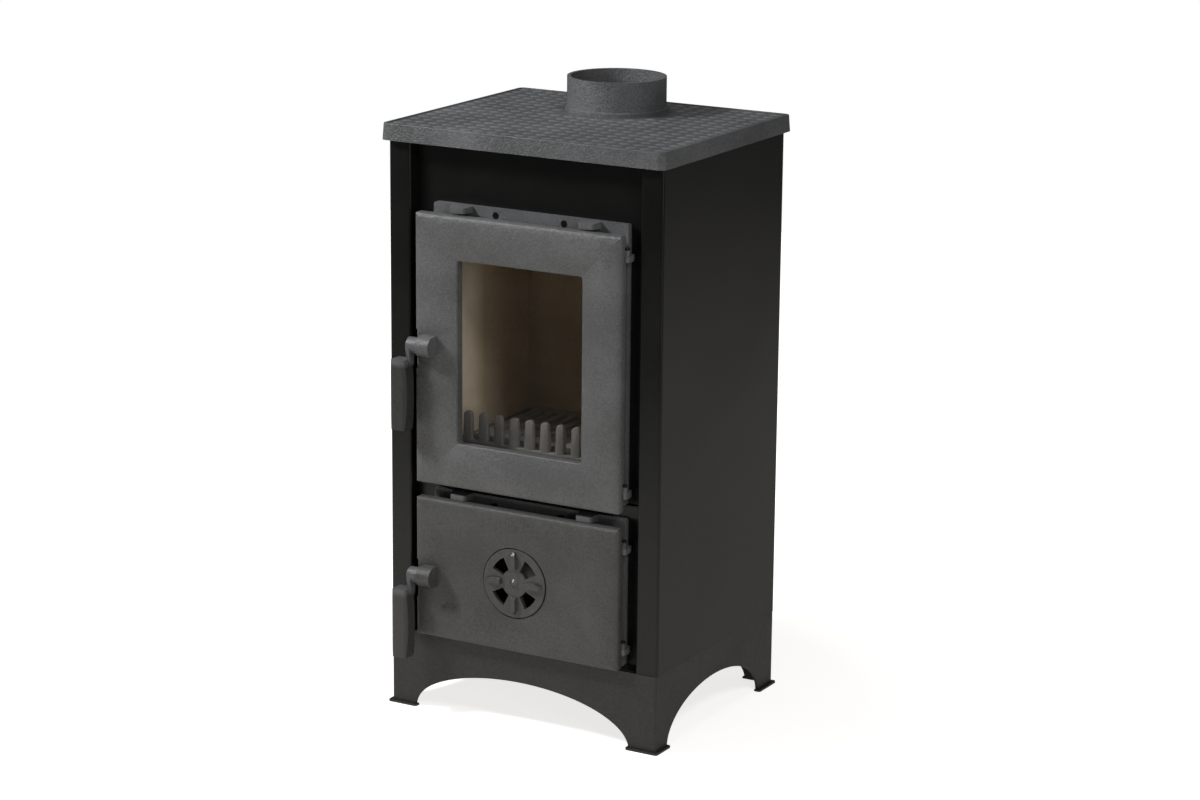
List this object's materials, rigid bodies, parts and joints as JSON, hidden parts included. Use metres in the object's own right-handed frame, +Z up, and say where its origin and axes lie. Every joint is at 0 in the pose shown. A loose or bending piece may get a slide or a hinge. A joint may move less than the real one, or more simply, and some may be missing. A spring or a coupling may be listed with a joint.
{
  "type": "room stove",
  "caption": "Small wood stove with steel casing, two crowned cast doors with lift handles, turning air rosette, hob plate, round flue collar and arched plinth.",
  "frame": {"origin": "on the floor, under the middle of the whole stove, handles and hob plate included", "axes": "+Z up, -Y is the front with the doors, +X to the right seen from the front"},
  "size_m": [0.381, 0.3458, 0.7576],
  "materials": {
    "cast_grey": "cast iron under satin grey stove paint",
    "casing_black": "sheet steel in satin black stove paint",
    "plinth_grey": "cast plinth in satin charcoal paint",
    "fire_steel": "sooted sheet steel",
    "drawer_sheet": "zinc-coated sheet",
    "fire_iron": "bare cast iron, sooted",
    "lining_board": "vermiculite board",
    "seal_rope": "knitted glass-fibre rope and tape",
    "stove_glass": "clear ceramic glass, faintly amber",
    "fixings": "zinc-plated steel"
  },
  "bodies": {
    "stove_body": {"base_plinth": "plinth_grey", "floor_plate": "fire_steel", "left_side_panel": "casing_black", "right_side_panel": "casing_black", "rear_panel": "casing_black", "rear_panel_screws": "fixings", "front_panel": "casing_black", "cross_rail": "casing_black", "cross_rail_screws": "fixings", "top_plate": "cast_grey", "flue_collar": "cast_grey", "collar_bolts": "fixings", "collar_nuts": "fixings", "tie_rods": "fixings", "tie_rod_nuts": "fixings", "firebox_shell": "fire_steel", "left_lining": "lining_board", "right_lining": "lining_board", "rear_lining": "lining_board", "rear_lining_rails": "fire_steel", "baffle_plate": "lining_board", "hearth_ledges": "fire_steel", "hearth_plate": "fire_iron", "grate": "fire_iron", "log_guard": "fire_iron", "drawer_runners": "fire_steel", "ash_drawer": "drawer_sheet", "ash_drawer_handle": "drawer_sheet", "upper_door_frame": "cast_grey", "upper_frame_screws": "fixings", "lower_door_frame": "cast_grey", "lower_frame_screws": "fixings", "upper_latch_keeper": "cast_grey", "lower_latch_keeper": "cast_grey", "keeper_screws": "fixings", "hinge_pins": "fixings"},
    "upper_door_leaf": {"upper_door": "cast_grey", "door_glass": "stove_glass", "glass_gasket": "seal_rope", "glass_clips": "fixings", "clip_screws": "fixings", "upper_door_rope": "seal_rope", "upper_handle_spindle": "fixings"},
    "upper_lever": {"upper_handle": "cast_grey"},
    "lower_door_leaf": {"lower_door": "cast_grey", "lower_door_rope": "seal_rope", "air_disc_rivet": "fixings", "lower_handle_spindle": "fixings"},
    "lower_lever": {"lower_handle": "cast_grey"},
    "air_rosette": {"air_disc": "cast_grey"}
  },
  "joints": [
    {"name": "upper_door_swing", "type": "hinge", "parent": "stove_body", "child": "upper_door_leaf", "pos_m": [0.1393, -0.13755, 0.45], "axis": [0, 0, 1], "range_deg": [0, 110]},
    {"name": "lower_door_swing", "type": "hinge", "parent": "stove_body", "child": "lower_door_leaf", "pos_m": [0.1393, -0.13755, 0.18], "axis": [0, 0, 1], "range_deg": [0, 110]},
    {"name": "upper_handle_lift", "type": "hinge", "parent": "upper_door_leaf", "child": "upper_lever", "pos_m": [-0.137, -0.15755, 0.458], "axis": [-1, 0, 0], "range_deg": [0, 70]},
    {"name": "lower_handle_lift", "type": "hinge", "parent": "lower_door_leaf", "child": "lower_lever", "pos_m": [-0.137, -0.15755, 0.1747], "axis": [-1, 0, 0], "range_deg": [0, 70]},
    {"name": "air_disc_turn", "type": "hinge", "parent": "lower_door_leaf", "child": "air_rosette", "pos_m": [-0.004, -0.14475, 0.1823], "axis": [0, -1, 0], "range_deg": [0, 45]}
  ]
}
